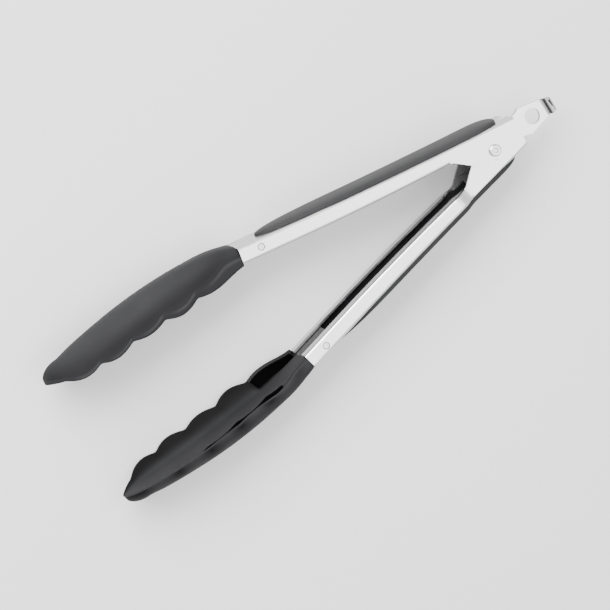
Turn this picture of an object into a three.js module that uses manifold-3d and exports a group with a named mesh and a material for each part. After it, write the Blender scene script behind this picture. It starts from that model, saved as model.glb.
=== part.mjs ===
// Spring loaded locking kitchen tongs, lying on their side, arms open.
// Millimetres. +X runs from the tips to the hanging tab, +Y to the upper arm, +Z up along the hinge axis.
// Each arm is drawn in its own frame: s from the hinge to the tip, h outward from the other arm,
// w along the hinge axis. placeArm() turns that frame to the open angle.
import * as THREE from 'three';
import * as BufferGeometryUtils from 'three/addons/utils/BufferGeometryUtils.js';
import Module from 'manifold-3d';

const wasm = await Module();
wasm.setup();
const { Manifold, Mesh: ManifoldMesh } = wasm;

// ---- driving dimensions ----
const OPEN_ANGLE = 11.2;          // each arm to the centre line, degrees
const GAP = 0.3;                  // clearance between neighbouring pieces
const SHEET = 1.0;                // steel sheet of the arms

const ARM_TAIL = -12.8;           // spine end behind the hinge
const ARM_HEAD = 115.7;           // spine end at the head
const LIP_START = 20;             // rolled lips run from here to the head
const SPINE_LOW = 7.05;           // spine height at the head end
const SPINE_BOW = 1.95;           // how much higher the spine is at the hinge
const ARM_HALF = 10.2;            // half width outside
const EAR_HALF_LOWER = 8.1;       // lower arm is joggled inward at the hinge
const SLOT_HALF = 5.5;            // slot between the rolled lips
const JOGGLE = [19, 20, 21.5, 23, 24.5, 26];   // lower arm widens between the first and the last
const SPINE_RADIUS = 1.4;
const LIP_RADIUS = 1.2;

const EAR_BOTTOM = -3.7;
const EAR_FRONT = 18.9;
const EAR_RADIUS = 4.6;
const NOTCH_DEPTH = 4.4;
const NOTCH_HALF = 1.2;

const RIVET_RADIUS = 1.9;
const RIVET_HEAD_RADIUS = 2.55;
const RIVET_HOLE = RIVET_RADIUS + GAP;
const WASHER_RADIUS = 4.2;
const WASHER_THICK = 0.5;
const BUSH_RADIUS = 2.9;
const COIL_RADIUS = 3.95;         // spring, to the middle of the wire
const WIRE_RADIUS = 0.575;
const COIL_TURNS = 3;
const COIL_PITCH = 1.35;
const COIL_LOW = 1.6;
const LEG_REACH = 12.6;           // where a spring leg meets its arm

const TAB_HALF_THICK = 0.6;
const TAB_RAIL_HALF = 4.6;
const TAB_NECK_HALF = 5.0;
const TAB_SHOULDER_HALF = 6.3;
const TAB_SHOULDER = 20.4;
const TAB_END = 31.2;
const TAB_END_HALF = 3.9;
const TAB_TRAVEL = 7.5;
const HANG_HOLE = 24.8;
const HANG_RADIUS = 3.5;
const PULL_RISE = 3.0;            // height of the formed pull at the tab's end
const PULL_REACH = 34.8;

const GRIP_TAIL = -7.6;
const GRIP_HEAD = 105;
const GRIP_WALL = 0.9;
const GRIP_DOME = 1.6;

const LINER_TAIL = 14.5;
const LINER_HEAD = 100;
const LINER_WALL = 1.2;

const PIN_POSITION = 106.5;
const PIN_HEIGHT = 3.9;
const PIN_RADIUS = 1.2;

const TONGUE_TAIL = 100.8;
const HEAD_ROOT = 116;
const HEAD_TIP = 206;
const CORE_END = 194;
const CORE_COVER = 1.2;           // silicone over the core, each side
const CORE_THICK = 1.4;
const CORE_DEEP = 0.3;             // core's reach to the deep and shallow side, parts of the half width
const CORE_SHALLOW = 0.62;
const RIM_WALL = 1.3;
const PIT_DEPTH = 3.0;            // pocket beside the raised strip at the root
const VALLEYS = [116, 138.2, 153.8, 169, 183.9, 199.3];   // between the scallops
const DEEP_DROP = [1.3, 2.0, 1.5, 1.8, 2.0];              // how far each scallop reaches past the valleys
const SHALLOW_DROP = [0.2, 1.2, 0.8, 0.8, 0.5];
const SCALLOP_FLARE = [0.9, 1.0, 0.6, 0.4, 0.1];
// Both heads are one moulding: a deep scalloped wall on one side and a shallow one on the other.
// The lower head is turned half round, so each deep wall faces the other head's shallow wall.
// head curves: [s, value] where the shape turns
const HEAD_BACK = [[116, 7.7], [123, 9.1], [131, 9.25], [150, 7.4], [170, 3.6], [190, -2.1], [198, -5.0]];
const HEAD_HALF = [[116, 10.3], [126, 10.1], [138, 10.6], [154, 12.4], [168, 13.7], [178, 14.1]];
const DEEP_RIM = [[116, -0.5], [138, -4.5], [154, -6.6], [169, -8.8], [184, -11.5], [199, -12.7], [206, -12.3]];
const SHALLOW_RIM = [[116, 1.4], [126, 2.3], [133, 2.7], [138, 2.0], [154, -0.7], [169, -3.7], [184, -7.3], [206, -12.3]];
const PLATFORM = [[116, 1.3], [134, 1.2], [147, -0.5], [155, -1.7], [164, -3.1], [178, -5.7], [190, -8.7], [206, -12.2]];
const STRIP_EDGE = [[116, 3.4], [121.6, 4.0], [125.4, 5.0], [129.4, 6.9], [133.5, 8.2], [138.2, 9.6]];
const NOSE_START = 198;
const NOSE_BACK = -10.2;

// ---- small maths ----
const radians = (degrees) => degrees * Math.PI / 180;

const clamp01 = (x) => Math.min(1, Math.max(0, x));

const smooth = (a, b, x) => {
  const t = clamp01((x - a) / (b - a));
  return t * t * (3 - 2 * t);
};

// smooth curve through [x, y] points
function curve(points) {
  const n = points.length;
  const slope = (i, j) => (points[j][1] - points[i][1]) / (points[j][0] - points[i][0]);
  const tangent = points.map((p, i) => slope(Math.max(0, i - 1), Math.min(n - 1, i + 1)));
  return (x) => {
    let i = 0;
    while (i < n - 2 && x > points[i + 1][0]) i += 1;
    const [x0, y0] = points[i];
    const [x1, y1] = points[i + 1];
    const d = x1 - x0;
    const t = clamp01((x - x0) / d);
    const a = 2 * t ** 3 - 3 * t ** 2 + 1;
    const b = t ** 3 - 2 * t ** 2 + t;
    const c = 3 * t ** 2 - 2 * t ** 3;
    const e = t ** 3 - t ** 2;
    return a * y0 + b * d * tangent[i] + c * y1 + e * d * tangent[i + 1];
  };
}

function arcPoints(cx, cy, radius, from, to, steps) {
  const points = [];
  for (let i = 0; i <= steps; i += 1) {
    const a = radians(from + (to - from) * i / steps);
    points.push([cx + radius * Math.cos(a), cy + radius * Math.sin(a)]);
  }
  return points;
}

const range = (from, to, steps) => Array.from({ length: steps + 1 }, (_, i) => from + (to - from) * i / steps);

// ---- solids ----
function toManifold(geometry) {
  const bare = geometry.clone();
  bare.deleteAttribute('normal');
  bare.deleteAttribute('uv');
  const merged = BufferGeometryUtils.mergeVertices(bare, 1e-4);
  return new Manifold(new ManifoldMesh({
    numProp: 3,
    vertProperties: new Float32Array(merged.attributes.position.array),
    triVerts: new Uint32Array(merged.index.array),
  }));
}

function fromManifold(solid) {
  const mesh = solid.getMesh();
  const geometry = new THREE.BufferGeometry();
  geometry.setAttribute('position', new THREE.BufferAttribute(new Float32Array(mesh.vertProperties), 3));
  geometry.setIndex(new THREE.BufferAttribute(new Uint32Array(mesh.triVerts), 1));
  return geometry;
}

// closed loops of [x, y, z] points joined into a solid, with flat ends
function loft(loops) {
  const count = loops[0].length;
  const positions = loops.flat(2);
  const index = [];
  for (let k = 0; k < loops.length - 1; k += 1) {
    for (let i = 0; i < count; i += 1) {
      const j = (i + 1) % count;
      const a = k * count + i;
      const b = k * count + j;
      index.push(a, b, b + count, a, b + count, a + count);
    }
  }
  const last = (loops.length - 1) * count;
  for (const [a, b, c] of capTriangles(loops[0])) index.push(a, c, b);
  for (const [a, b, c] of capTriangles(loops[loops.length - 1])) index.push(last + a, last + b, last + c);
  const geometry = new THREE.BufferGeometry();
  geometry.setAttribute('position', new THREE.Float32BufferAttribute(positions, 3));
  geometry.setIndex(index);
  const solid = toManifold(geometry);
  return solid.volume() < 0 ? toManifold(turnedInsideOut(geometry)) : solid;
}

// triangles over a flat loop, wound the way the loop runs
function capTriangles(loop) {
  const flat = loop.map((p) => new THREE.Vector2(p[1], p[2]));
  const triangles = THREE.ShapeUtils.triangulateShape(flat, []);
  const covered = triangles.reduce((sum, t) => sum + THREE.ShapeUtils.area(t.map((i) => flat[i])), 0);
  const sameWay = covered * THREE.ShapeUtils.area(flat) > 0;
  return sameWay ? triangles : triangles.map(([a, b, c]) => [a, c, b]);
}

function turnedInsideOut(geometry) {
  const turned = geometry.clone();
  const index = Array.from(geometry.index.array);
  for (let i = 0; i < index.length; i += 3) [index[i + 1], index[i + 2]] = [index[i + 2], index[i + 1]];
  turned.setIndex(index);
  return turned;
}

// outline in the x-y plane raised along z
function plate(outline, z0, z1, holes = []) {
  const shape = new THREE.Shape(outline.map((p) => new THREE.Vector2(...p)));
  for (const hole of holes) shape.holes.push(new THREE.Path(hole.map((p) => new THREE.Vector2(...p))));
  const geometry = new THREE.ExtrudeGeometry(shape, { depth: z1 - z0, bevelEnabled: false, curveSegments: 24 });
  geometry.translate(0, 0, z0);
  return toManifold(geometry);
}

const circle = (cx, cy, radius, steps = 28) => arcPoints(cx, cy, radius, 0, 360, steps).slice(0, -1);

const ring = (outer, inner, z0, z1) => plate(circle(0, 0, outer), z0, z1, [circle(0, 0, inner)]);

const box = (x0, x1, y0, y1, z0, z1) => plate([[x0, y0], [x1, y0], [x1, y1], [x0, y1]], z0, z1);

// ---- arm ----
const spineTop = (s) => SPINE_LOW + SPINE_BOW * (Math.max(0, 100 - s) / 100) ** 2;

const lipFace = (s) => 0.25 + 2.15 * (Math.max(0, 95 - s) / 75) ** 2;

function armHalf(s, side) {
  if (side > 0) return ARM_HALF;
  return EAR_HALF_LOWER + (ARM_HALF - EAR_HALF_LOWER) * smooth(JOGGLE[0], JOGGLE[JOGGLE.length - 1], s);
}


// open channel without lips, around the hinge
function tailLoop(s, side) {
  const top = spineTop(s);
  const half = armHalf(s, side);
  const low = lipFace(LIP_START);
  const r = SPINE_RADIUS;
  const outer = [[low, half], ...arcPoints(top - r, half - r, r, 90, 0, 4)];
  const under = top - SHEET;
  const inner = [[under, half - SHEET - 0.5], [under - 0.5, half - SHEET], [low, half - SHEET]];
  return mirroredRing(outer, inner, s);
}

// channel with its free edges rolled inward
function channelLoop(s, side) {
  const top = spineTop(s);
  const half = armHalf(s, side);
  const low = lipFace(s);
  const opened = smooth(LIP_START - 1, LIP_START + 6, s);
  const edge = (half - LIP_RADIUS) * (1 - opened) + SLOT_HALF * opened;
  const outer = [
    [low, edge],
    ...arcPoints(low + LIP_RADIUS, half - LIP_RADIUS, LIP_RADIUS, 180, 90, 4),
    ...arcPoints(top - SPINE_RADIUS, half - SPINE_RADIUS, SPINE_RADIUS, 90, 0, 4),
  ];
  const inner = [
    [top - SHEET, half - SHEET - 0.5],
    [top - SHEET - 0.5, half - SHEET],
    [low + SHEET + 0.4, half - SHEET],
    [low + SHEET, half - SHEET - 0.4],
    [low + SHEET, edge],
  ];
  return mirroredRing(outer, inner, s);
}

// outer runs from the near edge to the spine, inner from the spine back; both are mirrored across w
function mirroredRing(outer, inner, s) {
  const flip = (points) => points.slice().reverse().map(([h, w]) => [h, -w]);
  return [...outer, ...flip(outer), ...flip(inner), ...inner].map(([h, w]) => [s, h, w]);
}

function earOutline() {
  const end = ARM_TAIL - 0.5;
  return [
    [EAR_FRONT, lipFace(LIP_START)],
    [EAR_FRONT, 7.6],
    [ARM_TAIL + 1, 8.2],
    [ARM_TAIL, 8],
    [end, 6.6],
    ...arcPoints(end + EAR_RADIUS, EAR_BOTTOM + EAR_RADIUS, EAR_RADIUS, 180, 270, 6),
    ...arcPoints(7.6, EAR_BOTTOM + 3, 3, 270, 305, 3),
  ];
}

function armSolid(side) {
  const tail = loft([ARM_TAIL, 0, 12, JOGGLE[0], LIP_START + 0.02].map((s) => tailLoop(s, side)));
  const stations = [...JOGGLE.slice(1), 40, 55, 70, 85, 100, ARM_HEAD];
  let solid = tail.add(loft(stations.map((s) => channelLoop(s, side))));
  const half = armHalf(0, side);
  for (const w of [half - SHEET, -half]) {
    solid = solid.add(plate(earOutline(), w, w + SHEET));
  }
  const reach = ARM_HALF + 1;
  solid = solid.subtract(plate(circle(0, 0, RIVET_HOLE), -reach, reach));
  solid = solid.subtract(plate(circle(PIN_POSITION, PIN_HEIGHT, PIN_RADIUS + GAP), -reach, reach));
  solid = solid.subtract(box(ARM_TAIL - 1, ARM_TAIL + NOTCH_DEPTH, 4, 12, -NOTCH_HALF, NOTCH_HALF));
  return solid;
}

// ---- grip pad and channel liner ----
function gripPlan(s) {
  const toHead = clamp01((s - 65) / (GRIP_HEAD - 65));
  const toTail = clamp01((5 - s) / (5 - GRIP_TAIL));
  return (1 - toHead ** 2.6) ** 0.53 * (1 - toTail ** 2.8) ** 0.5;
}

function gripLoop(s, side) {
  const plan = gripPlan(s);
  const half = (armHalf(s, side) - 0.75) * plan;
  const base = spineTop(s) + GAP;
  const lift = plan ** 0.6;
  const top = range(-1, 1, 14).map((x) => {
    const y = Math.sin(x * Math.PI / 2);
    return [s, base + lift * (GRIP_WALL + GRIP_DOME * (1 - Math.abs(y) ** 2.4) ** 0.6), half * y];
  });
  return [[s, base, -half], ...top, [s, base, half]];
}

function gripSolid(side) {
  const tail = [0.01, 0.05, 0.14, 0.3, 0.55, 1].map((t) => GRIP_TAIL + (5 - GRIP_TAIL) * t);
  const middle = [12, ...JOGGLE, 40, 52, 65];
  const head = [0.25, 0.45, 0.6, 0.72, 0.82, 0.9, 0.95, 0.98, 0.995].map((t) => 65 + (GRIP_HEAD - 65) * t);
  return loft([...tail, ...middle, ...head].map((s) => gripLoop(s, side)));
}

function linerLoop(s, side) {
  const half = armHalf(s, side) - SHEET - GAP - 0.05;
  const top = spineTop(s) - SHEET - GAP - 0.05;
  const low = lipFace(s) + SHEET + GAP + 0.05;
  const wall = LINER_WALL;
  const outer = [[low, half], [top - 0.8, half], [top, half - 0.8]];
  const inner = [[top - wall, half - wall], [low, half - wall]];
  return mirroredRing(outer, inner, s);
}

const linerSolid = (side) => loft(
  [LINER_TAIL, ...JOGGLE, 40, 55, 70, 85, LINER_HEAD].map((s) => linerLoop(s, side)),
);

// ---- head ----
const headBackCurve = curve(HEAD_BACK);
const headHalfCurve = curve(HEAD_HALF);
const deepRim = curve(DEEP_RIM);
const shallowRim = curve(SHALLOW_RIM);
const platform = curve(PLATFORM);
const stripEdge = curve(STRIP_EDGE);

function headBack(s) {
  if (s < NOSE_START) return headBackCurve(s);
  const x = clamp01((s - NOSE_START) / (HEAD_TIP - NOSE_START));
  const start = HEAD_BACK[HEAD_BACK.length - 1][1];
  return NOSE_BACK + (start - NOSE_BACK) * (1 - x ** 1.7) ** 0.62;
}

function headHalf(s) {
  if (s < 178) return headHalfCurve(s);
  return 14.1 * Math.sqrt(Math.max(0, 1 - ((s - 178) / (HEAD_TIP - 178)) ** 2));
}

// how far into a scallop s lies, and which one
function scallop(s) {
  for (let i = 0; i < 5; i += 1) {
    const x = (s - VALLEYS[i]) / (VALLEYS[i + 1] - VALLEYS[i]);
    if (x >= 0 && x <= 1) {
      const t = i === 0 ? x ** 1.5 : x;
      const arch = 4 * t * (1 - t);
      return { i, rise: (Math.hypot(arch, 0.2) - 0.2) / 0.82 };
    }
  }
  return { i: 4, rise: 0 };
}

const sectionPower = (s) => 3 - 1.1 * clamp01((s - HEAD_ROOT) / 60);

// point of the outer skin: t from -1, the shallow rim, over the back to 1, the deep rim
function headSkinPoint(s, t) {
  const { i, rise } = scallop(s);
  const half = headHalf(s) + SCALLOP_FLARE[i] * rise;
  const rim = t > 0 ? deepRim(s) - DEEP_DROP[i] * rise : shallowRim(s) - SHALLOW_DROP[i] * rise;
  const back = headBack(s);
  const n = sectionPower(s);
  const a = Math.abs(t) * Math.PI / 2;
  const w = Math.sign(t) * half * Math.sin(a) ** (2 / n);
  return [back - (back - rim) * (1 - Math.cos(a) ** (2 / n)), w];
}

// inner face from the deep rim to the shallow one: a pocket that dies out along the deep wall,
// a scoop down to the raised strip, the strip, and a groove before the shallow wall
function headInside(s) {
  const [deep, deepEdge] = headSkinPoint(s, 1);
  const [shallow, shallowEdge] = headSkinPoint(s, -1);
  const wall = Math.min(RIM_WALL, headHalf(s) * 0.25);
  const inner = deepEdge - wall;
  const far = -shallowEdge - wall;
  const floor = platform(s);
  const from = 0.25 * headHalf(s);
  const scoop = (v) => floor + (deep - floor) * clamp01((v - from) / (inner - from)) ** 2.2;
  const merged = smooth(134, 138.2, s);
  const bank = (inner - 0.06) * merged + Math.min(inner - 0.06, stripEdge(s)) * (1 - merged);
  const pit = scoop(bank) + PIT_DEPTH * smooth(117.2, 118.6, s) * (1 - smooth(132, 138.2, s));
  const step = 0.25 * (inner - bank);
  const grooved = smooth(130, 138, s) * (1 - smooth(160, 181, s));
  const groove = (0.3 + grooved) * Math.min(1, headHalf(s) / 9);
  const ditch = floor + 0.05 + 2.6 * grooved;
  return [
    [deep + 0.02, inner], [Math.max(deep + 0.04, pit), inner - step], [Math.max(deep + 0.04, pit), bank + step],
    ...range(1, 0, 4).map((k) => [scoop(from + (bank - from) * k), from + (bank - from) * k]),
    [floor, 0], [floor, -0.5 * (far - groove)], [floor, groove - far],
    [ditch, 0.8 * groove - far], [ditch, 0.3 * groove - far], [shallow + 0.02, -far],
  ];
}

function headLoop(s) {
  const outer = range(-1, 1, 20).map((t) => headSkinPoint(s, t));
  return [...outer, ...headInside(s)].map(([h, w]) => [s, h, w]);
}

function coreLoop(s, grow) {
  const half = headHalf(s);
  const root = 1 - smooth(118, 140, s);
  const across = range(-CORE_SHALLOW - grow / half, CORE_DEEP + grow / half, 6);
  const surface = (x) => {
    const n = sectionPower(s);
    const back = headBack(s);
    return back - (back - deepRim(s)) * (1 - (1 - Math.abs(x) ** n) ** (1 / n));
  };
  const cover = CORE_COVER + GAP + 0.7 * (1 - smooth(HEAD_ROOT, 123, s));
  const top = across.map((x) => [s, surface(x) - cover + grow, half * x]);
  const low = across.slice().reverse().map((x) => [
    s, surface(x) - cover - CORE_THICK - 1.6 * root - grow, half * x,
  ]);
  return [...top, ...low];
}

const coreBlade = (from, to, grow) => loft(range(from, to, 22).map((s) => coreLoop(s, grow)));

function headStations() {
  const stations = [HEAD_ROOT, 117, 118.6, 121.5, 124, 127, 130, 133, 136];
  for (let i = 1; i < 5; i += 1) {
    const span = VALLEYS[i + 1] - VALLEYS[i];
    for (const t of [0, 0.12, 0.3, 0.5, 0.7, 0.88]) stations.push(VALLEYS[i] + span * t);
  }
  return [...stations, VALLEYS[5], 201, 202.8, 204.2, 205.3, 205.92];
}

// the deep wall lies on the +w side of the upper head and the -w side of the lower head
const turned = (solid, side) => (side > 0 ? solid : solid.mirror([0, 0, 1]));

function headSkinSolid(side) {
  const shell = loft(headStations().map(headLoop));
  return turned(shell.subtract(coreBlade(HEAD_ROOT - 1, CORE_END + GAP, GAP)), side);
}

function headCoreSolid(side) {
  const mid = (TONGUE_TAIL + ARM_HEAD) / 2;
  const half = ARM_HALF - SHEET - GAP - 0.1;
  const top = spineTop(mid) - SHEET - GAP - 0.1;
  const low = lipFace(mid) + SHEET + GAP + 0.1;
  const tongue = box(TONGUE_TAIL, ARM_HEAD, low, top, -half, half);
  const pinHole = plate(circle(PIN_POSITION, PIN_HEIGHT, PIN_RADIUS + GAP), -ARM_HALF, ARM_HALF);
  return turned(tongue.add(coreBlade(ARM_HEAD - 0.4, CORE_END, 0)).subtract(pinHole), side);
}

function headPinSolid() {
  const end = ARM_HALF - 0.1;
  const pin = plate(circle(PIN_POSITION, PIN_HEIGHT, PIN_RADIUS, 20), -end, end);
  const dimple = plate(circle(PIN_POSITION, PIN_HEIGHT, 0.6, 12), -0.3, 0.3);
  return pin.subtract(dimple.translate([0, 0, end])).subtract(dimple.translate([0, 0, -end]));
}

// ---- hinge ----
function rivetSolid() {
  const seat = ARM_HALF + GAP;
  const head = seat + 0.9;
  const half = [
    [0, head - 0.35], [0.8, head - 0.35], [1.1, head], [RIVET_HEAD_RADIUS - 0.45, head],
    [RIVET_HEAD_RADIUS, head - 0.35], [RIVET_HEAD_RADIUS, seat], [RIVET_RADIUS, seat],
  ];
  const lower = half.slice().reverse().map(([r, z]) => [r, -z]);
  const profile = [...half, ...lower].map(([r, z]) => new THREE.Vector2(r, z));
  const geometry = new THREE.LatheGeometry(profile.reverse(), 28);
  geometry.rotateX(Math.PI / 2);
  const solid = toManifold(geometry);
  return solid.volume() < 0 ? toManifold(turnedInsideOut(geometry)) : solid;
}

const washerSolid = (side) => {
  const low = EAR_HALF_LOWER + GAP;
  const z = [side * low, side * (low + WASHER_THICK)].sort((a, b) => a - b);
  return ring(WASHER_RADIUS, RIVET_HOLE, z[0], z[1]);
};

const bushSolid = (side) => {
  const z = [side * (TAB_HALF_THICK + GAP + 0.05), side * (EAR_HALF_LOWER - SHEET - GAP)].sort((a, b) => a - b);
  return ring(BUSH_RADIUS, RIVET_HOLE, z[0], z[1]);
};

// torsion spring: a leg along the lower arm, the coil round the bush, a leg along the upper arm
class SpringPath extends THREE.Curve {
  constructor() {
    super();
    const reachHeight = spineTop(LEG_REACH) - SHEET - GAP - WIRE_RADIUS;
    const distance = Math.hypot(LEG_REACH, reachHeight);
    this.leg = Math.sqrt(distance ** 2 - COIL_RADIUS ** 2);
    const seen = Math.atan2(reachHeight, LEG_REACH) + Math.acos(COIL_RADIUS / distance);
    this.touch = Math.PI - seen - radians(OPEN_ANGLE);
    this.sweep = 2 * this.touch + 2 * Math.PI * COIL_TURNS;
    this.coil = this.sweep * COIL_RADIUS;
  }

  getPoint(t, target = new THREE.Vector3()) {
    const along = t * (2 * this.leg + this.coil);
    const height = COIL_PITCH * this.sweep / (2 * Math.PI);
    const turned = Math.min(Math.max(along - this.leg, 0), this.coil) / COIL_RADIUS;
    const a = -this.touch + turned;
    const before = Math.max(0, this.leg - along);
    const after = Math.max(0, along - this.leg - this.coil);
    const straight = after - before;
    const z = COIL_LOW + height * (1 - turned / this.sweep);
    return target.set(
      COIL_RADIUS * Math.cos(a) - straight * Math.sin(a),
      COIL_RADIUS * Math.sin(a) + straight * Math.cos(a),
      z,
    );
  }
}

function springSolid() {
  const wire = new THREE.Shape(circle(0, 0, WIRE_RADIUS, 8).map((p) => new THREE.Vector2(...p)));
  const geometry = new THREE.ExtrudeGeometry(wire, { steps: 92, bevelEnabled: false, extrudePath: new SpringPath() });
  return toManifold(geometry);
}

// ---- lock tab ----
function tabOutline() {
  const half = [
    ...arcPoints(-2.4, 1.6, 3, 180, 90, 4),
    [14, TAB_RAIL_HALF],
    [17.6, TAB_NECK_HALF],
    ...arcPoints(TAB_SHOULDER + 0.5, TAB_SHOULDER_HALF - 1.2, 1.2, 150, 70, 4),
    [TAB_SHOULDER + 2.2, TAB_SHOULDER_HALF - 0.3],
    [TAB_END, TAB_END_HALF],
  ];
  return [...half, ...half.slice().reverse().map(([x, y]) => [x, -y])];
}

// upturned pull at the tab's end: wall up, flat top outward, edge down
function pullSolid() {
  const t = 2 * TAB_HALF_THICK;
  const low = -TAB_HALF_THICK;
  const top = PULL_RISE + TAB_HALF_THICK;
  const start = TAB_END - 0.1;
  const profile = [
    [start, low], ...arcPoints(start + 1.1, low + 1.1, 1.1, 270, 360, 3),
    [start + 2.2, top - t], [PULL_REACH - t + 0.2, top - t], [PULL_REACH - t + 0.2, 1.0], [PULL_REACH, 1.0],
    ...arcPoints(PULL_REACH - 0.9, top - 0.9, 0.9, 0, 90, 3),
    ...arcPoints(start + 1.9, top - 0.9, 0.9, 90, 180, 3),
    [start + 1.0, 1.1], [start, low + t],
  ];
  const strip = plate(profile, -TAB_END_HALF, TAB_END_HALF).rotate([90, 0, 0]);
  const trim = plate([
    [start - 1, -5], [start - 1, 5], [start, TAB_END_HALF - 0.02], [PULL_REACH - 0.6, 3.1], [PULL_REACH + 0.1, 2.6],
    [PULL_REACH + 0.1, -2.6], [PULL_REACH - 0.6, -3.1], [start, 0.02 - TAB_END_HALF],
  ], -2, 6);
  const slit = plate([[33.1, 2.4], [34, 2.3], [33.9, -0.9], [33.5, -0.9]], top - t - 0.5, top + 1);
  return strip.intersect(trim).subtract(slit);
}

function tabSolid() {
  const slot = [
    ...arcPoints(-0.1, 0, RIVET_HOLE, 90, 270, 10),
    ...arcPoints(TAB_TRAVEL + 0.1, 0, RIVET_HOLE, 270, 450, 10),
  ];
  const hole = circle(HANG_HOLE, 0, HANG_RADIUS, 32);
  return plate(tabOutline(), -TAB_HALF_THICK, TAB_HALF_THICK, [slot, hole]).add(pullSolid());
}

// ---- assembly ----
const STEEL = [0xd3d3d1, 0.32, 0.95];
const DULL_STEEL = [0xa9a9a6, 0.4, 0.9];
const SPRING_STEEL = [0x8d8f92, 0.35, 0.9];
const SOFT_GREY = [0x55565a, 0.75, 0];
const BLACK_PLASTIC = [0x151516, 0.35, 0];
const CORE_GREY = [0x4a4b4e, 0.55, 0];
const SILICONE = [0x4d4e51, 0.5, 0];
const NYLON_WHITE = [0xd8d6cf, 0.5, 0];

// from the arm's own frame to the assembly
function placeArm(side) {
  const c = Math.cos(radians(OPEN_ANGLE));
  const n = Math.sin(radians(OPEN_ANGLE));
  return new THREE.Matrix4().set(
    -c, n, 0, 0,
    side * n, side * c, 0, 0,
    0, 0, 1, 0,
    0, 0, 0, 1,
  );
}

const group = new THREE.Group();
group.name = 'spring_loaded_tongs';

function addNode(name, solid, look, matrix = null) {
  let geometry = fromManifold(solid);
  if (matrix) {
    geometry.applyMatrix4(matrix);
    if (matrix.determinant() < 0) geometry = turnedInsideOut(geometry);
  }
  const [color, roughness, metalness] = look;
  const mesh = new THREE.Mesh(geometry, new THREE.MeshStandardMaterial({ color, roughness, metalness }));
  mesh.name = name;
  group.add(mesh);
}

for (const [name, side] of [['upper', 1], ['lower', -1]]) {
  const place = placeArm(side);
  addNode(`${name}_arm`, armSolid(side), STEEL, place);
  addNode(`${name}_grip`, gripSolid(side), SOFT_GREY, place);
  addNode(`${name}_liner`, linerSolid(side), BLACK_PLASTIC, place);
  addNode(`${name}_head_core`, headCoreSolid(side), CORE_GREY, place);
  addNode(`${name}_head_skin`, headSkinSolid(side), SILICONE, place);
  addNode(`${name}_head_pin`, headPinSolid(), DULL_STEEL, place);
}
addNode('pivot_rivet', rivetSolid(), DULL_STEEL);
addNode('washer_near', washerSolid(1), NYLON_WHITE);
addNode('washer_far', washerSolid(-1), NYLON_WHITE);
addNode('bush_near', bushSolid(1), NYLON_WHITE);
addNode('bush_far', bushSolid(-1), NYLON_WHITE);
addNode('torsion_spring', springSolid(), SPRING_STEEL);
addNode('lock_tab', tabSolid(), STEEL);

// stand the assembly on z = 0, centred on x and y
const bounds = new THREE.Box3().setFromObject(group);
const centre = bounds.getCenter(new THREE.Vector3());
for (const mesh of group.children) mesh.geometry.translate(-centre.x, -centre.y, -bounds.min.z);

export default group;
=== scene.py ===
import math

import bmesh
import bpy
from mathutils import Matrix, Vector


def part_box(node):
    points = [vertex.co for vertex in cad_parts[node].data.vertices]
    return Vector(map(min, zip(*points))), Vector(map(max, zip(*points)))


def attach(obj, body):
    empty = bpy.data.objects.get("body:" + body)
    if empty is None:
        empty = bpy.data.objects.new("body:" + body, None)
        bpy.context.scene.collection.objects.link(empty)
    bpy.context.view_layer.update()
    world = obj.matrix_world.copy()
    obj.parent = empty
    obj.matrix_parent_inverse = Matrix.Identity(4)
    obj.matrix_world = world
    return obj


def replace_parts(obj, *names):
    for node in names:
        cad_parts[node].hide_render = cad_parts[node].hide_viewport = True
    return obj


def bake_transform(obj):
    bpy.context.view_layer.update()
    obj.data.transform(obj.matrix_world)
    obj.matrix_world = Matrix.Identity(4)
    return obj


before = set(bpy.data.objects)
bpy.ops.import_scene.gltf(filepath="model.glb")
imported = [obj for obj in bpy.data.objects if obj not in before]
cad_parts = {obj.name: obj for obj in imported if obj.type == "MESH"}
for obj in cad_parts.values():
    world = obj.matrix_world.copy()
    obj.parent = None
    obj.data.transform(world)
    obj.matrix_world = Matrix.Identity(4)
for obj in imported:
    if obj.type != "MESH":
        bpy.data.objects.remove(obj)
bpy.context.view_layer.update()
MM = 0.001


def centre(node):
    low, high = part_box(node)
    return [(a + b) / 2 for a, b in zip(low, high)]


# ---------- dimensions in mm, in the arm frame: s from the hinge to the tip, h outward, w up ----------
# the hinge, the angle of each arm to X, and where the lock tab's pull bends up, along X from the hinge
PIVOT = Vector(centre("pivot_rivet"))
OPEN_ANGLE = math.radians(11.2)
PULL_START = 30.9

# arms: half width, the lower arm's half width where its ears sit inside the upper arm's, and the sheet
ARM_HALF = 10.2
EAR_HALF_LOWER = 8.1
SHEET = 1.0

# grips: their two ends, where they are at full width between them, and the gap beside the spine's edge
GRIP_TAIL, GRIP_HEAD = -7.6, 105
GRIP_FULL_FROM, GRIP_FULL_TO = 5, 65
GRIP_MARGIN = 0.75

# heads: their ends, the valleys between the scallops, and one value for each of the five scallops
HEAD_ROOT, HEAD_TIP = 116, 206
VALLEYS = [116, 138.2, 153.8, 169, 183.9, 199.3]
DEEP_DROP = [1.3, 2.0, 1.5, 1.8, 2.0]
SHALLOW_DROP = [0.2, 1.2, 0.8, 0.8, 0.5]
SCALLOP_FLARE = [0.9, 1.0, 0.6, 0.4, 0.1]

# heads: height h along s of the back, of the two rims at the valleys and of the flat strip inside
HEAD_BACK = [(116, 7.7), (123, 9.1), (131, 9.25), (150, 7.4), (170, 3.6), (190, -2.1), (198, -5.0)]
DEEP_RIM = [(116, -0.5), (138, -4.5), (154, -6.6), (169, -8.8), (184, -11.5), (199, -12.7), (206, -12.3)]
SHALLOW_RIM = [
    (116, 1.4), (126, 2.3), (133, 2.7), (138, 2.0), (154, -0.7), (169, -3.7), (184, -7.3), (206, -12.3),
]
PLATFORM = [
    (116, 1.3), (134, 1.2), (147, -0.5), (155, -1.7), (164, -3.1), (178, -5.7), (190, -8.7), (206, -12.2),
]

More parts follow.
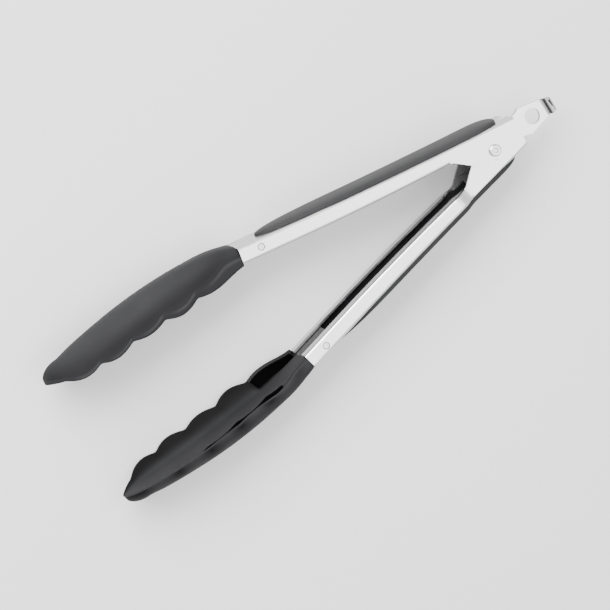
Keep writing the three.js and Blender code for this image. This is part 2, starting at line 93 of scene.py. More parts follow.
# heads: half width, where the strip ends beside the pocket, how far the crease lies above the deep rim, and
# the share of the half width that the strip takes on the deep rim's side
HEAD_HALF = [(116, 10.3), (126, 10.1), (138, 10.6), (154, 12.4), (168, 13.7), (178, 14.1)]
STRIP_EDGE = [(116, 3.4), (121.6, 4.0), (125.4, 5.0), (129.4, 6.9), (133.5, 8.2), (138.2, 9.6)]
CREASE = [(116, 5.3), (124, 5.1), (131, 3.8), (140, 2.9), (152, 2.6), (160, 1.9), (170, 1.5), (206, 1.2)]
STRIP_SHARE = 0.25

# heads: past NOSE_START the back falls to NOSE_BACK, and sections go on for NOSE_REACH past the last valley
NOSE_START, NOSE_BACK, NOSE_REACH = 198, -10.2, 6.6

# heads: the wall at the rims, where the inner face begins above them, the pocket's depth, the step above the
# deep rim's flange, how deep the shallow wall is cut between its petals, and the size of the root's end
RIM_WALL = 1.3
RIM_GAP = 0.3
PIT_DEPTH = 3.8
FLANGE_STEP = 0.7
PETAL = 1.3
ROOT_HALF_HEIGHT, ROOT_HALF_WIDTH = 4.5, 10.3

# heads: where the pocket and the slit get black as painted shadow
POCKET_SHADOWED = 117, 137.8
SLIT_SHADOWED = 130, 180

# heads: points of a section on a rim, on each run of its inner face from the deep rim on, and on the back
RIM_RUN = 5
POCKET_RUN, SCOOP_RUN, STRIP_RUN, SLIT_RUN = 10, 16, 9, 6
BACK_ROWS = 40

# spring
COIL_RADIUS, COIL_TURNS, COIL_PITCH, COIL_LOW = 3.95, 3, 1.35, 1.6
WIRE_RADIUS = 0.575
WIRE_SIDES = 12
LEG_REACH = 12.6

# camera, from the pivot
CAMERA_PLACE = (-256.98, 206.31, 791.13)
CAMERA_TURN = (-6.265, -17.525, -33.745)
CAMERA_LENS = 121.09


# ---------- small maths ----------
def clamp01(x):
    return min(1.0, max(0.0, x))


def smooth(a, b, x):
    t = clamp01((x - a) / (b - a))
    return t * t * (3 - 2 * t)


def between(s, start, full, fading, end):
    """1 from full to fading, falling smoothly to 0 at start and end."""
    return smooth(start, full, s) * (1 - smooth(fading, end, s))


def curve(points):
    """Smooth curve through (x, y) points."""
    n = len(points)

    def slope(i, j):
        return (points[j][1] - points[i][1]) / (points[j][0] - points[i][0])

    tangent = [slope(max(0, i - 1), min(n - 1, i + 1)) for i in range(n)]

    def value(x):
        i = 0
        while i < n - 2 and x > points[i + 1][0]:
            i += 1
        (x0, y0), (x1, y1) = points[i], points[i + 1]
        d = x1 - x0
        t = clamp01((x - x0) / d)
        return (
            (2 * t**3 - 3 * t**2 + 1) * y0
            + (t**3 - 2 * t**2 + t) * d * tangent[i]
            + (3 * t**2 - 2 * t**3) * y1
            + (t**3 - t**2) * d * tangent[i + 1]
        )

    return value


def spread(a, b, steps):
    return [a + (b - a) * i / steps for i in range(steps + 1)]


def place(side, s, h, w):
    """A point of an arm's own frame in the row frame, in metres."""
    c, n = math.cos(OPEN_ANGLE), math.sin(OPEN_ANGLE)
    return PIVOT + Vector((-s * c + h * n, side * (s * n + h * c), w)) * MM


# ---------- mesh helpers ----------
def mesh_object(name, vertices, faces, material, slot, body, angle=40, lining=None, lined=(), recess=()):
    """A smooth piece that rides a body, where one is named, with some faces in a second material, black as
    painted shadow, and a painted shade value at each point.
    """
    mesh = bpy.data.meshes.new(name)
    mesh.from_pydata([tuple(v) for v in vertices], [], faces)
    mesh.validate()
    built = bmesh.new()
    built.from_mesh(mesh)
    bmesh.ops.recalc_face_normals(built, faces=built.faces)
    built.to_mesh(mesh)
    built.free()
    mesh.materials.append(material)
    if lining:
        mesh.materials.append(lining)
    for polygon in mesh.polygons:
        polygon.use_smooth = True
        polygon.material_index = 1 if polygon.index in lined else 0
    mesh.set_sharp_from_angle(angle=math.radians(angle))
    # each point's painted shade value, which the silicone reads to darken its base colour
    if recess:
        mesh.attributes.new("recess", "FLOAT", "POINT").data.foreach_set("value", recess)
    obj = bpy.data.objects.new(name, mesh)
    bpy.context.scene.collection.objects.link(obj)
    if body:
        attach(obj, body)
    return obj


def loft_faces(rows, count):
    """Faces that join rows of count points into a closed piece."""
    faces = []
    for k in range(rows - 1):
        for i in range(count):
            j = (i + 1) % count
            faces.append((k * count + i, k * count + j, (k + 1) * count + j, (k + 1) * count + i))
    faces.append(tuple(range(count)))
    faces.append(tuple((rows - 1) * count + i for i in range(count)))
    return faces


def arm_loft(name, loops, side, material, slot, body, angle=40, **extra):
    """Loops of (s, h, w) points in one arm's frame, joined into a closed piece."""
    vertices = [place(side, *p) for loop in loops for p in loop]
    faces = loft_faces(len(loops), len(loops[0]))
    return mesh_object(name, vertices, faces, material, slot, body, angle, **extra)


# ---------- materials ----------
# the colour sockets of a Mix node, whose other kinds of socket have the same names
MIX_A, MIX_B, MIX_RESULT = 6, 7, 2

# noise drawn out along X, as brushing is
BRUSHED = (0.035, 1.0, 1.0)


def new_material(name):
    material = bpy.data.materials.new(name)
    material.use_nodes = True
    nodes = material.node_tree.nodes
    return material, nodes, material.node_tree.links, nodes["Principled BSDF"]


def noise(nodes, links, scale, detail=3.0, rough=0.5, turn=None, stretch=None):
    """Noise in object coordinates, optionally turned about Z and stretched."""
    coordinates = nodes.new("ShaderNodeTexCoord")
    mapping = nodes.new("ShaderNodeMapping")
    texture = nodes.new("ShaderNodeTexNoise")
    texture.inputs["Scale"].default_value = scale
    texture.inputs["Detail"].default_value = detail
    texture.inputs["Roughness"].default_value = rough
    if turn is not None:
        mapping.inputs["Rotation"].default_value = (0, 0, turn)
    if stretch is not None:
        mapping.inputs["Scale"].default_value = stretch
    links.new(coordinates.outputs["Object"], mapping.inputs["Vector"])
    links.new(mapping.outputs["Vector"], texture.inputs["Vector"])
    return texture


def ramp(nodes, links, source, low, high, start=0.3, end=0.7):
    """Colour or grey that runs from low to high as source runs from start to end."""
    node = nodes.new("ShaderNodeValToRGB")
    node.color_ramp.elements[0].position = start
    node.color_ramp.elements[1].position = end
    node.color_ramp.elements[0].color = low if len(low) == 4 else (*low, 1)
    node.color_ramp.elements[1].color = high if len(high) == 4 else (*high, 1)
    links.new(source, node.inputs["Fac"])
    return node.outputs["Color"]


def grey(value):
    return (value, value, value, 1)


def bump(nodes, links, source, shader, strength, distance):
    node = nodes.new("ShaderNodeBump")
    node.inputs["Strength"].default_value = strength
    node.inputs["Distance"].default_value = distance
    links.new(source, node.inputs["Height"])
    links.new(node.outputs["Normal"], shader.inputs["Normal"])


def steel(name, tone, turn, low=0.24, high=0.36):
    """Satin steel brushed along the direction turned from X."""
    material, nodes, links, shader = new_material(name)
    shader.inputs["Metallic"].default_value = 1.0
    fine = noise(nodes, links, 900, 4, 0.6, turn, BRUSHED)
    broad = noise(nodes, links, 60, 3, 0.5)
    dark = tuple(c * 0.93 for c in tone)
    links.new(ramp(nodes, links, fine.outputs["Fac"], dark, tone), shader.inputs["Base Color"])
    mix = nodes.new("ShaderNodeMath")
    mix.operation = "MULTIPLY_ADD"
    mix.inputs[1].default_value = 0.35
    links.new(broad.outputs["Fac"], mix.inputs[0])
    links.new(fine.outputs["Fac"], mix.inputs[2])
    rough = ramp(nodes, links, mix.outputs["Value"], grey(low), grey(high), 0.45, 0.95)
    links.new(rough, shader.inputs["Roughness"])
    bump(nodes, links, fine.outputs["Fac"], shader, 0.05, 0.0001)
    return material


def multiply_base(material):
    """Add a node that multiplies the base colour by the node's second colour, and return it."""
    nodes, links = material.node_tree.nodes, material.node_tree.links
    base = nodes["Principled BSDF"].inputs["Base Color"]
    mix = nodes.new("ShaderNodeMix")
    mix.data_type = "RGBA"
    mix.blend_type = "MULTIPLY"
    mix.inputs["Factor"].default_value = 1.0
    links.new(base.links[0].from_socket, mix.inputs[MIX_A])
    links.new(mix.outputs[MIX_RESULT], base)
    return mix


def paint_side_shade(material, edge):
    """Painted shade: faces turned to the side, such as sheared edges and bent sides, are darker than the
    flats.
    """
    nodes, links = material.node_tree.nodes, material.node_tree.links
    coordinates = nodes.new("ShaderNodeTexCoord")
    split = nodes.new("ShaderNodeSeparateXYZ")
    size = nodes.new("ShaderNodeMath")
    size.operation = "ABSOLUTE"
    links.new(coordinates.outputs["Normal"], split.inputs["Vector"])
    links.new(split.outputs["Z"], size.inputs[0])
    tone = ramp(nodes, links, size.outputs["Value"], grey(edge), grey(1.0), 0.4, 0.85)
    links.new(tone, multiply_base(material).inputs[MIX_B])


def paint_shade_beyond(material, x, dark, per_metre=500):
    """Painted shade: the bent end past x, in metres, is darker than the rest."""
    nodes, links = material.node_tree.nodes, material.node_tree.links
    coordinates = nodes.new("ShaderNodeTexCoord")
    split = nodes.new("ShaderNodeSeparateXYZ")
    shift = nodes.new("ShaderNodeMath")
    shift.operation = "MULTIPLY_ADD"
    shift.inputs[1].default_value = per_metre
    shift.inputs[2].default_value = -per_metre * x
    links.new(coordinates.outputs["Object"], split.inputs["Vector"])
    links.new(split.outputs["X"], shift.inputs[0])
    tone = ramp(nodes, links, shift.outputs["Value"], grey(1.0), grey(dark), 0.0, 0.5)
    links.new(tone, multiply_base(material).inputs[MIX_B])


def rubbery(name, dark, light, rough_low, rough_high, specular, grain, grain_size, ior=1.5):
    """Plastic or silicone with faint mottling in colour and roughness and a fine tooth."""
    material, nodes, links, shader = new_material(name)
    shader.inputs["Specular IOR Level"].default_value = specular
    shader.inputs["IOR"].default_value = ior
    broad = noise(nodes, links, 45, 4, 0.55)
    fine = noise(nodes, links, grain_size, 2, 0.5)
    links.new(ramp(nodes, links, broad.outputs["Fac"], dark, light), shader.inputs["Base Color"])
    rough = ramp(nodes, links, broad.outputs["Fac"], grey(rough_low), grey(rough_high))
    links.new(rough, shader.inputs["Roughness"])
    bump(nodes, links, fine.outputs["Fac"], shader, grain, 0.00008)
    return material


def darken_recess(material, dark):
    """Painted shade: base colour falls to a fraction of itself as far as each point's painted shade value on
    the mesh says.
    """
    nodes, links = material.node_tree.nodes, material.node_tree.links
    recess = nodes.new("ShaderNodeAttribute")
    recess.attribute_name = "recess"
    mix = multiply_base(material)
    mix.inputs[MIX_B].default_value = grey(dark)
    links.new(recess.outputs["Fac"], mix.inputs["Factor"])


STEEL_TONE = (0.90, 0.90, 0.895)
STEELS = {
    1: steel("arm_steel_upper", STEEL_TONE, OPEN_ANGLE),
    -1: steel("arm_steel_lower", STEEL_TONE, -OPEN_ANGLE),
}
TAB_STEEL = steel("tab_steel", (0.92, 0.92, 0.915), 0.0)
# painted shade on the side faces of the arms and, darker still, of the tab
for sheet in STEELS.values():
    paint_side_shade(sheet, 0.55)
paint_side_shade(TAB_STEEL, 0.16)
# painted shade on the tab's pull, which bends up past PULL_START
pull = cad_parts["lock_tab"].matrix_world.inverted() @ (PIVOT + Vector((PULL_START * MM, 0, 0)))
paint_shade_beyond(TAB_STEEL, pull.x, 0.4)
RIVET_STEEL = steel("rivet_steel", (0.74, 0.74, 0.73), 0.4, 0.22, 0.34)
SPRING_STEEL = steel("spring_steel", (0.45, 0.46, 0.47), 0.3, 0.25, 0.4)
GRIP = rubbery(
    "grip_rubber", (0.022, 0.022, 0.023), (0.030, 0.030, 0.031), 0.54, 0.64, 0.5, 0.25, 2600, 1.28,
)
SILICONE = rubbery(
    "silicone", (0.025, 0.025, 0.0265), (0.032, 0.032, 0.0335), 0.48, 0.58, 0.5, 0.12, 1900, 1.1,
)
# painted shade in the heads' hollows, pocket, scoop, flange and between the petals
darken_recess(SILICONE, 0.24)
# painted shadow: near black, put in the pocket and the slit where only shade falls
POCKET_SHADOW = rubbery(
    "pocket_painted_shadow", (0.001, 0.001, 0.001), (0.002, 0.002, 0.002), 0.8, 0.9, 0.1, 0.1, 1900, 1.1,
)
CORE = rubbery(
    "core_nylon", (0.018, 0.018, 0.019), (0.024, 0.024, 0.025), 0.42, 0.55, 0.5, 0.15, 2200, 1.25,
)
LINER = rubbery(
    "liner_plastic", (0.008, 0.008, 0.009), (0.016, 0.016, 0.017), 0.20, 0.34, 0.5, 0.06, 1500, 1.25,
)
NYLON = rubbery("washer_nylon", (0.70, 0.69, 0.65), (0.78, 0.77, 0.73), 0.40, 0.52, 0.4, 0.1, 1800)


# ---------- arms, liners, cores and hinge: the CAD nodes with a finish ----------
def spine_top(s):
    """Height of the arm's spine, which bows outward towards the hinge."""
    return 7.05 + 1.95 * (max(0, 100 - s) / 100) ** 2


def arm_half(s, side):
    if side > 0:
        return ARM_HALF
    return EAR_HALF_LOWER + (ARM_HALF - EAR_HALF_LOWER) * smooth(19, 26, s)


def finish_cad(name, material):
    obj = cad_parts[name]
    obj.data.materials.clear()
    obj.data.materials.append(material)
    for polygon in obj.data.polygons:
        polygon.use_smooth = True
        polygon.material_index = 0
    obj.data.set_sharp_from_angle(angle=math.radians(35))


for side, arm in ((1, "upper"), (-1, "lower")):
    finish_cad(arm + "_arm", STEELS[side])
    finish_cad(arm + "_liner", LINER)
    finish_cad(arm + "_head_core", CORE)
    finish_cad(arm + "_head_pin", RIVET_STEEL)
for name in ("washer_near", "washer_far", "bush_near", "bush_far"):
    finish_cad(name, NYLON)
finish_cad("pivot_rivet", RIVET_STEEL)
finish_cad("lock_tab", TAB_STEEL)


# ---------- grips ----------
def grip_plan(s):
    """Share of the full width at s, falling to 0 at both ends."""
    to_head = clamp01((s - GRIP_FULL_TO) / (GRIP_HEAD - GRIP_FULL_TO))
    to_tail = clamp01((GRIP_FULL_FROM - s) / (GRIP_FULL_FROM - GRIP_TAIL))
    return (1 - to_head**2.6) ** 0.53 * (1 - to_tail**2.8) ** 0.5


def grip_loop(s, side):
    """One domed section on the spine."""
    plan = grip_plan(s)
    half = (arm_half(s, side) - GRIP_MARGIN) * plan
    base = spine_top(s) + 0.02
    lift = plan**0.6
    loop = [(s, base, -half), (s, base + lift * 0.55, -half)]
    for x in spread(-1, 1, 32):
        y = math.sin(x * math.pi / 2)
        h = base + 0.28 + lift * (0.9 + 1.6 * (1 - abs(y) ** 2.4) ** 0.6)
        inset = 1 - 0.25 * (abs(y) ** 12) / max(half, 1)
        loop.append((s, h, half * y * inset))
    loop += [(s, base + lift * 0.55, half), (s, base, half)]
    return loop


def grip_stations():
    """Sections along the grip, closer where its ends round off and where the lower arm widens."""
    tail_length = GRIP_FULL_FROM - GRIP_TAIL
    head_length = GRIP_HEAD - GRIP_FULL_TO
    tail_shares = (0.002, 0.01, 0.03, 0.06, 0.1, 0.16, 0.24, 0.34, 0.46, 0.6, 0.78, 1)
    head_shares = (
        0.12, 0.25, 0.37, 0.48, 0.58, 0.67, 0.75, 0.82, 0.87, 0.91, 0.945, 0.97, 0.985, 0.995, 0.9995,
    )
    tail = [GRIP_TAIL + tail_length * share for share in tail_shares]
    middle = [12, 19] + spread(20, 23.75, 5) + [24.5, 26] + spread(32, GRIP_FULL_TO, 6)
    head = [GRIP_FULL_TO + head_length * share for share in head_shares]
    return tail + middle + head


def build_grip(arm, side):
    loops = [grip_loop(s, side) for s in grip_stations()]
    grip = arm_loft(arm + "_grip_pad", loops, side, GRIP, "soft_grip", arm, 50)
    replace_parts(grip, arm + "_grip")


# ---------- heads ----------
head_back_curve = curve(HEAD_BACK)
head_half_curve = curve(HEAD_HALF)
deep_rim = curve(DEEP_RIM)
shallow_rim = curve(SHALLOW_RIM)
platform = curve(PLATFORM)
strip_edge = curve(STRIP_EDGE)
crease_height = curve(CREASE)


def head_back(s):
    if s < NOSE_START:
        return head_back_curve(s)
    x = clamp01((s - NOSE_START) / (HEAD_TIP - NOSE_START))
    return NOSE_BACK + (HEAD_BACK[-1][1] - NOSE_BACK) * (1 - x**1.7) ** 0.62


def head_half(s):
    """Half width: past its widest place the plan is a quarter of an ellipse."""
    widest, half = HEAD_HALF[-1]
    if s < widest:
        return head_half_curve(s)
    return half * math.sqrt(max(0.0, 1 - ((s - widest) / (HEAD_TIP - widest)) ** 2))


def fullness(s):
    """1 along the head, falling to 0 where it narrows to the tip."""
    return smooth(0, 6, head_half(s))


def scallop(s):
    """Which scallop s lies in, how far along it s is, and how far up its arch: the valleys are rounded."""
    for i in range(len(DEEP_DROP)):
        x = (s - VALLEYS[i]) / (VALLEYS[i + 1] - VALLEYS[i])
        if 0 <= x <= 1:
            t = x**1.5 if i == 0 else x
            arch = 4 * t * (1 - t)
            return i, x, (math.hypot(arch, 0.2) - 0.2) / 0.82
    return i, x, 0.0


def rim_height(s, deep):
    i, _, rise = scallop(s)
    if deep:
        return deep_rim(s) - DEEP_DROP[i] * rise
    return shallow_rim(s) - SHALLOW_DROP[i] * rise


def section_power(s):
    """How square the section is: boxy at the cuff, rounder along the head."""
    return 3 + 1.4 * (1 - smooth(116, 122, s)) - 1.1 * clamp01((s - HEAD_ROOT) / 60)


def section_base(s, deep):
    """Height that the whole section is drawn to, level with the lowest lobes: the rim is cut from it."""
    return deep_rim(s) - 2.0 * fullness(s) if deep else shallow_rim(s) - 1.2 * fullness(s)


def crease_above(s):
    return min(crease_height(s), 0.45 * (head_back(s) - rim_height(s, True)))


def over_crease(s, h):
    """How far h is above the crease, which follows the scallops, and above a line that does not."""
    return h - rim_height(s, True) - crease_above(s), h - deep_rim(s) - crease_above(s)


def lobe(s, h):
    """1 on the low part of the shallow wall, where its petals are, falling to 0 towards the back."""
    back = head_back(s)
    return smooth(0.3, 0.8, (back - h) / max(0.1, back - rim_height(s, False)))


def skin_point(s, h, deep):
    """Outer skin at height h, as (h, v)."""
    i, _, rise = scallop(s)
    back = head_back(s)
    base = section_base(s, deep)
    n = section_power(s)
    v = head_half(s) * (1 - clamp01((h - base) / (back - base)) ** n) ** (1 / n)
    if deep:
        # a flange stands out below a wavy crease, with a soft hollow above it
        above, still = over_crease(s, h)
        v += SCALLOP_FLARE[i] * rise * (1 - smooth(-0.1, 1.6, above))
        v -= fullness(s) * FLANGE_STEP * smooth(-0.6, 0.45, above) * (1 - smooth(0.2, 8.5, still))
        return h, v
    # petals of the shallow wall swell between the valleys
    swell = SCALLOP_FLARE[i] * rise - PETAL * (1 - rise) * smooth(117, 126, s)
    return h, -(v + fullness(s) * lobe(s, h) * swell)


def painted_shade_at(s, h, deep):
    """Painted shade on the skin at h: dark in the hollow, on the flange and between the petals, none on the
    crease.
    """
    _, x, rise = scallop(s)
    if deep:
        above, still = over_crease(s, h)
        hollow = smooth(-0.1, 0.5, above) * (1 - smooth(0.5, 8, still))
        flange = 1 - smooth(-1.0, -0.5, above)
        # painted shade: the crease grows darker towards the tip end of each scallop, the side turned from
        # the light
        fading = smooth(0.5, 0.85, x) * (1 - smooth(0.5, 3, above))
        return fullness(s) * max(0.55 * hollow, 0.4 * flange, 0.45 * fading)
    # painted shade in the valleys between the shallow wall's petals
    return fullness(s) * lobe(s, h) * 0.9 * (1 - rise) * smooth(117, 124, s)


def rim_reach(s):
    return 0.5 * min(RIM_WALL, head_half(s) * 0.25)


def skin_heights(s, deep, span):
    """Heights above the rim of the lower outer points, closest beside the crease."""
    reach = min(rim_reach(s), span * 0.2)
    if not deep:
        return [reach + (0.75 * span - reach) * k / 18 for k in range(19)]
    crease = max(reach * 1.2, crease_above(s))
    below = max(reach, crease - 0.7)
    scale = min(1, span / 9)
    heights = [reach + (below - reach) * k / 4 for k in range(4)]
    heights += [below + (crease + 0.5 - below) * k / 8 for k in range(9)]
    heights += [crease + scale * k for k in (0.8, 1.2, 1.8, 2.5, 3.3, 4.2)]
    return heights


def skin_rows(s, deep):
    """Outer points from just above a rim to just beside the middle of the back, each with its painted shade.
    """
    n = section_power(s)
    back = head_back(s)
    base = section_base(s, deep)
    rim = rim_height(s, deep)
    heights = [rim + x for x in skin_heights(s, deep, back - rim)]
    beside = (1 - clamp01((heights[-1] - base) / (back - base)) ** n) ** (1 / n)
    for k in range(1, BACK_ROWS):
        heights.append(base + (back - base) * (1 - (beside * (1 - k / BACK_ROWS)) ** n) ** (1 / n))
    return [(*skin_point(s, h, deep), painted_shade_at(s, h, deep)) for h in heights]


def rounded_rim(s, edge, inner, rim):
    """Half round rim from the outer edge to the inner face, as (h, v) points."""
    reach = min(rim_reach(s), (head_back(s) - rim) * 0.2)
    radius = (edge - inner) / 2
    middle = (edge + inner) / 2
    turns = [math.pi * k / (RIM_RUN + 1) for k in range(1, RIM_RUN + 1)]
    return [(rim + reach * (1 - math.sin(a)), middle + radius * math.cos(a)) for a in turns]


def scoop_height(s, v, inner):
    """Height at v of the scoop, which rises from the flat strip to the deep rim's inner face at inner."""
    floor = platform(s)
    start = STRIP_SHARE * head_half(s)
    x = clamp01((v - start) / (inner - start))
    power = 2.2 + 2.6 * between(s, 117, 119, 136, 138.6)
    return floor + (deep_rim(s) - floor) * x**power + (rim_height(s, True) - deep_rim(s)) * x**8


def pocket_run(s, inner):
    """Inner face from the deep rim down the pocket's wall, over its bottom and back to the scoop's edge."""
    top = rim_height(s, True) + RIM_GAP
    merged = smooth(135.8, 138.2, s)
    bank = (inner - 0.06) * merged + min(inner - 0.06, strip_edge(s)) * (1 - merged)
    opened = between(s, 117.2, 118.6, 136, 138.2)
    pit = max(top, scoop_height(s, bank, inner) + PIT_DEPTH * opened)
    fall = pit - top
    # the wall leans in where it passes under the hollow above the crease
    foot = inner - (inner - min(inner, head_half(s) - 3.7)) * smooth(2.0, 4.0, fall)
    upright = min(max(1.2, crease_above(s) - 1.0), fall)
    bank = min(bank, foot - 0.06)
    width = foot - bank
    points = [(top, inner), (top + min(0.9, fall), inner - 0.02), (top + upright, inner - 0.04)]
    points += [(pit, foot - width * share) for share in (0.24, 0.45, 0.66)]
    rise = scoop_height(s, bank, inner) - pit
    for share in (0.78, 0.88, 0.95, 1.0):
        points.append((pit + rise * smooth(0.66, 1.0, share), foot - width * share))
    return points


def scoop_run(s, bank, inner):
    """Inner face from the pocket's bank across the scoop to the strip."""
    start = STRIP_SHARE * head_half(s)
    across = [start + (bank - start) * k for k in spread(1, 0, SCOOP_RUN)[1:]]
    return [(scoop_height(s, v, inner), v) for v in across]


def slit_run(s, shallow, far):
    """Inner face over the strip, into the slit beside the shallow wall and up to the shallow rim."""
    floor = platform(s)
    start = STRIP_SHARE * head_half(s)
    grooved = between(s, 130, 138, 160, 181)
    groove = (0.15 + 1.1 * grooved) * min(1, head_half(s) / 9)
    ditch = floor + 0.25 * smooth(118, 120, s) + 2.6 * grooved
    points = [(floor, start - 0.02)]
    points += [(floor, start * (1 - k) + (groove + 0.3 - far) * k) for k in spread(0, 1, STRIP_RUN - 1)[1:]]
    softened = min(0.28, groove * 0.6) * 0.25 if ditch > floor + 0.1 else 0.0
    points += [(floor + softened, groove + 0.1 - far), (floor + (ditch - floor) * 0.4, groove * 0.96 - far)]
    points += [(ditch, groove * share - far) for share in (0.8, 0.5, 0.2)]
    points.append((max(shallow + RIM_GAP, min(ditch, shallow + 0.35)), 0.02 - far))
    return points


def head_loop(s, shrink=0.0):
    """One closed section of a head as (s, h, v) points, and the painted shade of each of them."""
    wall = 2 * rim_reach(s)
    deep, deep_edge = skin_point(s, rim_height(s, True), True)
    shallow, shallow_edge = skin_point(s, rim_height(s, False), False)
    inner = deep_edge - wall
    far = -shallow_edge - wall
    outer = skin_rows(s, False) + [(head_back(s), 0.0, 0.0)] + skin_rows(s, True)[::-1]
    pocket = pocket_run(s, inner)
    inside = pocket + scoop_run(s, pocket[-1][1], inner) + slit_run(s, shallow, far)
    shallow_round = [(h, -v) for h, v in reversed(rounded_rim(s, -shallow_edge, far, shallow))]
    loop = [x[:2] for x in outer] + rounded_rim(s, deep_edge, inner, deep) + inside + shallow_round

    # painted shade: none on the rims, full in the pocket
    shade = [x[2] for x in outer] + [0.0] * (RIM_RUN + 2) + [1.0] * (POCKET_RUN - 2)
    # painted shade: the scoop grows darker up to the deep rim, and the strip gets a little
    shade += [1 - 0.8 * smooth(0.1, 0.65, (k + 1) / SCOOP_RUN) for k in range(SCOOP_RUN)]
    shade += [0.2] * STRIP_RUN
    shade += [0.0] * (len(loop) - len(shade))
    if shrink:
        middle = (head_back(s) + deep_rim(s)) / 2
        drawn_in = 1 - shrink / ROOT_HALF_HEIGHT
        loop = [(middle + (h - middle) * drawn_in, v * (1 - shrink / ROOT_HALF_WIDTH)) for h, v in loop]
    return [(s, h, v) for h, v in loop], shade


def head_stations():
    """Sections along a head, each with how far it is drawn in: only the first ones, to round the root."""
    stations = [(115.74, 0.4), (115.8, 0.2), (115.95, 0.06), (116.3, 0.0), (116.7, 0.0), (117.1, 0.0)]
    for a, b in zip(VALLEYS, VALLEYS[1:]):
        begin = 117.6 if a == HEAD_ROOT else a
        steps = 24 if a == HEAD_ROOT else 16
        stations += [(begin + (b - begin) * k / steps, 0.0) for k in range(steps)]
    turns = spread(0, math.pi / 2, 18)
    return stations + [(VALLEYS[-1] + NOSE_REACH * math.sin(a), 0.0) for a in turns]


def lined_faces(loops):
    """Faces of the pocket at the root and of the slit beside the shallow wall, which are painted black as
    shadow.
    """
    count = len(loops[0])
    pocket = count - RIM_RUN - POCKET_RUN - SCOOP_RUN - STRIP_RUN - SLIT_RUN
    slit = count - RIM_RUN - SLIT_RUN
    lined = set()
    for k in range(len(loops) - 1):
        s = loops[k][0][0]
        if POCKET_SHADOWED[0] < s < POCKET_SHADOWED[1]:
            lined.update(k * count + i for i in range(pocket + 1, pocket + POCKET_RUN - 1))
        if SLIT_SHADOWED[0] < s < SLIT_SHADOWED[1]:
            lined.update(k * count + i for i in range(slit, slit + SLIT_RUN - 1))
    return lined


def build_head(arm, side):
    sections = [head_loop(s, shrink) for s, shrink in head_stations()]
    recess = [x for _, shade in sections for x in shade]
    # the deep wall lies on the +w side of the upper head and on the -w side of the lower head
    loops = [[(s, h, v * side) for s, h, v in loop] for loop, _ in sections]
    # the pocket and slit get black painted shadow, and each point its painted shade
    head = arm_loft(
        arm + "_head", loops, side, SILICONE, "head_silicone", arm, 60,
        lining=POCKET_SHADOW, lined=lined_faces(loops), recess=recess,
    )
    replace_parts(head, arm + "_head_skin")


# ---------- spring: coil on the hinge and its two legs -----------------------
def spring_points():
    """The wire's middle line in three runs: the lower arm's leg, the coil and the upper arm's leg."""
    meet = spine_top(LEG_REACH) - SHEET - 0.3 - WIRE_RADIUS
    distance = math.hypot(LEG_REACH, meet)
    leg = math.sqrt(distance**2 - COIL_RADIUS**2)
    touch = math.pi - math.atan2(meet, LEG_REACH) - math.acos(COIL_RADIUS / distance) - OPEN_ANGLE
    sweep = 2 * touch + 2 * math.pi * COIL_TURNS
    rise = COIL_PITCH * sweep / (2 * math.pi)

    def point(turned, straight):
        a = turned * sweep - touch
        x = COIL_RADIUS * math.cos(a) - straight * math.sin(a)
        y = COIL_RADIUS * math.sin(a) + straight * math.cos(a)
        return PIVOT + Vector((x, y, COIL_LOW + rise * (1 - turned))) * MM

    lower = [point(0, -d) for d in spread(leg, 0, 14)]
    coil = [point(k, 0) for k in spread(0, 1, 150)]
    upper = [point(1, d) for d in spread(0, leg, 14)]
    return lower, coil, upper


def wire(name, points, body):
    """A round wire along the points."""
    vertices = []
    for k, p in enumerate(points):
        along = (points[min(k + 1, len(points) - 1)] - points[max(k - 1, 0)]).normalized()
        across = along.cross(Vector((0, 0, 1))).normalized()
        up = across.cross(along)
        for i in range(WIRE_SIDES):
            a = 2 * math.pi * i / WIRE_SIDES
            vertices.append(p + (across * math.cos(a) + up * math.sin(a)) * WIRE_RADIUS * MM)
    faces = loft_faces(len(points), WIRE_SIDES)
    return mesh_object(name, vertices, faces, SPRING_STEEL, "spring_steel", body, 50)


def build_spring():
    lower, coil, upper = spring_points()
    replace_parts(wire("spring_coil", coil, "hinge"), "torsion_spring")
    legs = (("spring_leg_lower", lower[::-1], "lower"), ("spring_leg_upper", upper, "upper"))
    for name, points, arm in legs:
        leg = wire(name, points, None)
        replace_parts(leg, "torsion_spring")
        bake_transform(leg)


build_spring()
for side, arm in ((1, "upper"), (-1, "lower")):
    build_grip(arm, side)
    build_head(arm, side)


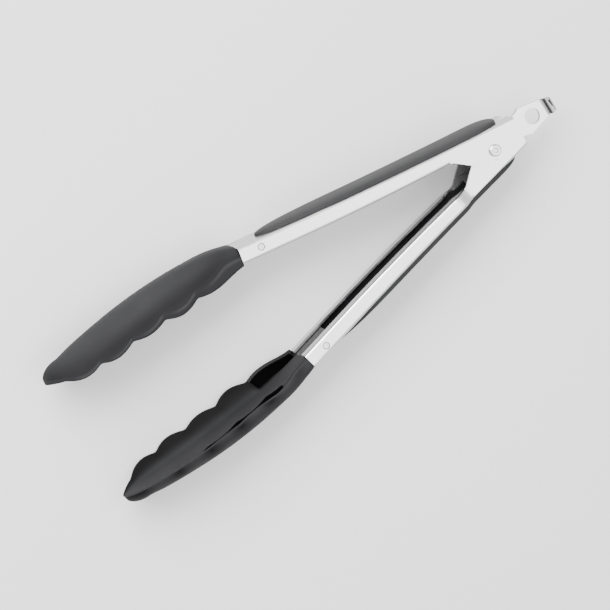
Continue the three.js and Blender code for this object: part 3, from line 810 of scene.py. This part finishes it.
# ---------- floor, light and camera ----------
def build_floor():
    material, nodes, links, shader = new_material("floor_white")
    broad = noise(nodes, links, 3, 2, 0.5)
    tone = ramp(nodes, links, broad.outputs["Fac"], grey(0.86), grey(0.88))
    links.new(tone, shader.inputs["Base Color"])
    shader.inputs["Roughness"].default_value = 0.9
    shader.inputs["Specular IOR Level"].default_value = 0.1
    bpy.ops.mesh.primitive_plane_add(size=6, location=(0, 0, -0.0005))
    floor = bpy.context.object
    floor.name = "floor"
    floor.data.materials.append(material)


def build_sky():
    """White light from above, greyer towards the horizon and below."""
    world = bpy.data.worlds.new("studio")
    bpy.context.scene.world = world
    world.use_nodes = True
    nodes, links = world.node_tree.nodes, world.node_tree.links
    coordinates = nodes.new("ShaderNodeTexCoord")
    split = nodes.new("ShaderNodeSeparateXYZ")
    sky = nodes.new("ShaderNodeValToRGB")
    sky.color_ramp.elements[0].color = (0.35, 0.35, 0.36, 1)
    sky.color_ramp.elements[1].color = (1, 1, 1, 1)
    sky.color_ramp.elements[1].position = 0.65
    links.new(coordinates.outputs["Generated"], split.inputs["Vector"])
    links.new(split.outputs["Z"], sky.inputs["Fac"])
    links.new(sky.outputs["Color"], nodes["Background"].inputs["Color"])
    nodes["Background"].inputs["Strength"].default_value = 1.35


def build_light(name, location, size, power):
    """A soft box in metres and watts, turned to the origin."""
    light = bpy.data.lights.new(name, "AREA")
    light.shape = "RECTANGLE"
    light.size, light.size_y = size
    light.energy = power
    obj = bpy.data.objects.new(name, light)
    obj.location = location
    obj.rotation_euler = (-Vector(location)).to_track_quat("-Z", "Y").to_euler()
    bpy.context.scene.collection.objects.link(obj)


def build_camera():
    camera = bpy.data.cameras.new("camera")
    camera.lens = CAMERA_LENS
    camera.sensor_width = 36
    camera.clip_start = 0.01
    obj = bpy.data.objects.new("camera", camera)
    obj.location = PIVOT + Vector(CAMERA_PLACE) * MM
    obj.rotation_euler = [math.radians(a) for a in CAMERA_TURN]
    bpy.context.scene.collection.objects.link(obj)
    bpy.context.scene.camera = obj


build_floor()
build_sky()
build_light("key", (-0.2, 0.75, 0.75), (0.9, 0.6), 22)
build_light("top", (0.3, -0.1, 1.2), (1.0, 1.0), 8)
build_camera()
